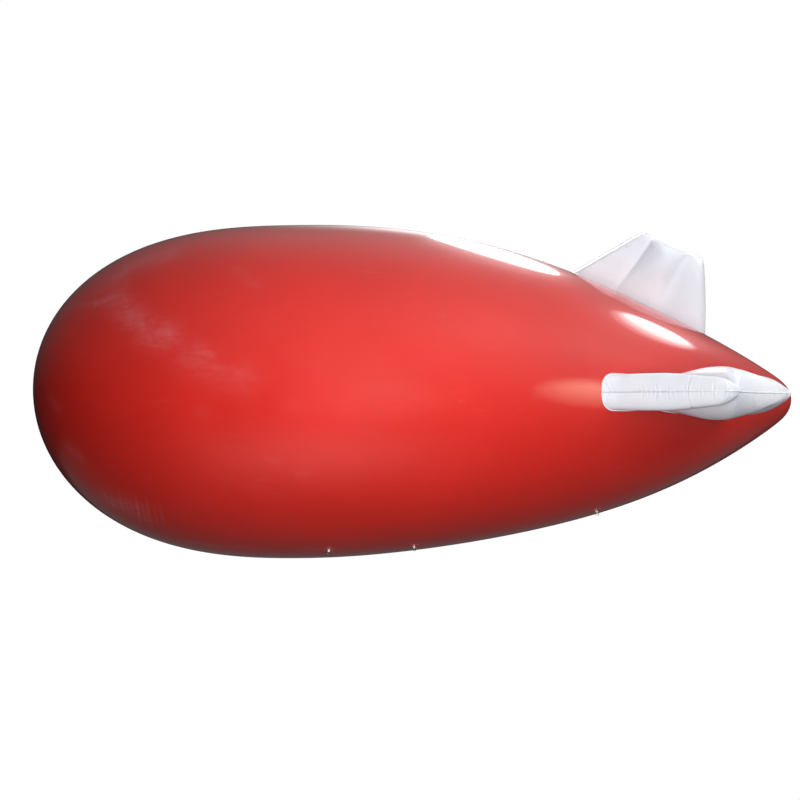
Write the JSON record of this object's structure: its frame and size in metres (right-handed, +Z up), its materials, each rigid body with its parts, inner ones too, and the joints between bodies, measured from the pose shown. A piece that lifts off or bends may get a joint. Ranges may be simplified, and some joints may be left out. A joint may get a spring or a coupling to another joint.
{
  "type": "advertising blimp balloon",
  "caption": "Helium advertising blimp: glossy teardrop hull of welded gores, three inflated tail fins, tether rings on the lower flanks and a filling valve.",
  "frame": {"origin": "on the hull's axis at mid length, the point at which the air's lift is taken to hold the blimp", "axes": "+X along the hull from nose to tail, +Z up through the top fin, -Y to port"},
  "size_m": [6, 2.716, 2.6785],
  "materials": {
    "hull_film": "glossy red PVC film",
    "fin_film": "glossy white PVC film",
    "valve_plastic": "moulded, satin",
    "valve_cap_plastic": "moulded, satin",
    "webbing": "woven polyester webbing",
    "ring_steel": "bright plated wire"
  },
  "bodies": {
    "envelope": {"hull_gore_01": "hull_film", "hull_gore_02": "hull_film", "hull_gore_03": "hull_film", "hull_gore_04": "hull_film", "hull_gore_05": "hull_film", "hull_gore_06": "hull_film", "hull_gore_07": "hull_film", "hull_gore_08": "hull_film", "hull_gore_09": "hull_film", "hull_gore_10": "hull_film", "hull_gore_11": "hull_film", "hull_gore_12": "hull_film", "nose_cap": "hull_film", "tail_cap": "hull_film", "fin_top_skin_starboard": "fin_film", "fin_top_skin_port": "fin_film", "fin_top_valve": "valve_plastic", "fin_port_skin_upper": "fin_film", "fin_port_skin_lower": "fin_film", "fin_port_valve": "valve_plastic", "fin_starboard_skin_upper": "fin_film", "fin_starboard_skin_lower": "fin_film", "fin_starboard_valve": "valve_plastic", "helium_valve_flange": "valve_plastic", "helium_valve_neck": "valve_plastic", "helium_valve_cap": "valve_cap_plastic", "tether_patch_port_1": "hull_film", "tether_patch_port_2": "hull_film", "tether_patch_port_3": "hull_film", "tether_patch_starboard_1": "hull_film", "tether_patch_starboard_2": "hull_film", "tether_patch_starboard_3": "hull_film", "tether_tab_port_1": "webbing", "tether_tab_port_2": "webbing", "tether_tab_port_3": "webbing", "tether_tab_starboard_1": "webbing", "tether_tab_starboard_2": "webbing", "tether_tab_starboard_3": "webbing"},
    "ring_port_1": {"tether_ring_port_1": "ring_steel"},
    "ring_port_2": {"tether_ring_port_2": "ring_steel"},
    "ring_port_3": {"tether_ring_port_3": "ring_steel"},
    "ring_starboard_1": {"tether_ring_starboard_1": "ring_steel"},
    "ring_starboard_2": {"tether_ring_starboard_2": "ring_steel"},
    "ring_starboard_3": {"tether_ring_starboard_3": "ring_steel"}
  },
  "joints": [
    {"name": "ring_port_1_swing", "type": "hinge", "parent": "envelope", "child": "ring_port_1", "pos_m": [-0.65751, -0.6507, -1.15069], "axis": [0.9994, 0.0172, 0.0306], "range_deg": [-128, 69]},
    {"name": "ring_port_2_swing", "type": "hinge", "parent": "envelope", "child": "ring_port_2", "pos_m": [-0.04928, -0.54125, -1.13925], "axis": [0.9922, 0.0528, 0.1132], "range_deg": [-124, 73]},
    {"name": "ring_port_3_swing", "type": "hinge", "parent": "envelope", "child": "ring_port_3", "pos_m": [1.3094, -0.44415, -0.8748], "axis": [0.9478, 0.1463, 0.2835], "range_deg": [-127, 70]},
    {"name": "ring_starboard_1_swing", "type": "hinge", "parent": "envelope", "child": "ring_starboard_1", "pos_m": [-0.65751, 0.6507, -1.15069], "axis": [0.9994, -0.0172, 0.0306], "range_deg": [-69, 128]},
    {"name": "ring_starboard_2_swing", "type": "hinge", "parent": "envelope", "child": "ring_starboard_2", "pos_m": [-0.04928, 0.54125, -1.13925], "axis": [0.9922, -0.0528, 0.1132], "range_deg": [-73, 124]},
    {"name": "ring_starboard_3_swing", "type": "hinge", "parent": "envelope", "child": "ring_starboard_3", "pos_m": [1.3094, 0.44415, -0.8748], "axis": [0.9478, -0.1463, 0.2835], "range_deg": [-70, 127]}
  ]
}
